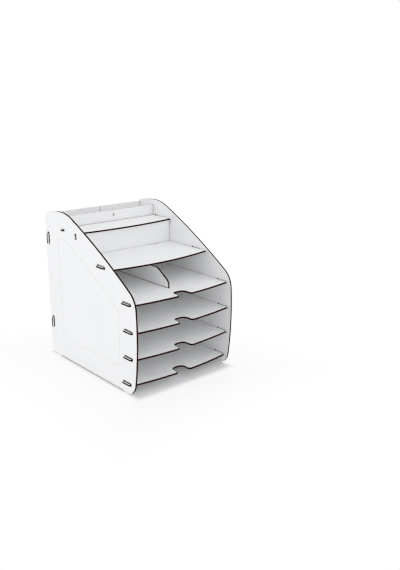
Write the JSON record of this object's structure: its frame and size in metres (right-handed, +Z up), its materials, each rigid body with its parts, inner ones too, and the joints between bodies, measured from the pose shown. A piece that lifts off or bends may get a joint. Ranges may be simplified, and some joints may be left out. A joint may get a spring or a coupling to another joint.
{
  "type": "desktop document rack",
  "caption": "Free-standing desktop rack of interlocking thin white boards: sloping side panels, document bays with finger notches, a note shelf, a top ledge and a pen box.",
  "frame": {"origin": "on the desk, under the middle of the rack's footprint", "axes": "+X to the right seen from the front, +Y to the back, +Z up; the open front faces -Y"},
  "size_m": [0.2568, 0.327, 0.3329],
  "materials": {
    "white_board": "satin white lacquered hardboard with dark burnt cut edges"
  },
  "bodies": {
    "root": {"left_side_panel": "white_board", "right_side_panel": "white_board", "back_panel": "white_board", "top_ledge": "white_board", "note_shelf": "white_board", "upper_document_shelf": "white_board", "middle_document_shelf": "white_board", "lower_document_shelf": "white_board", "bottom_document_shelf": "white_board", "riser_panel": "white_board", "pen_box_wall": "white_board", "pen_box_divider": "white_board", "bay_partition": "white_board"}
  },
  "joints": []
}
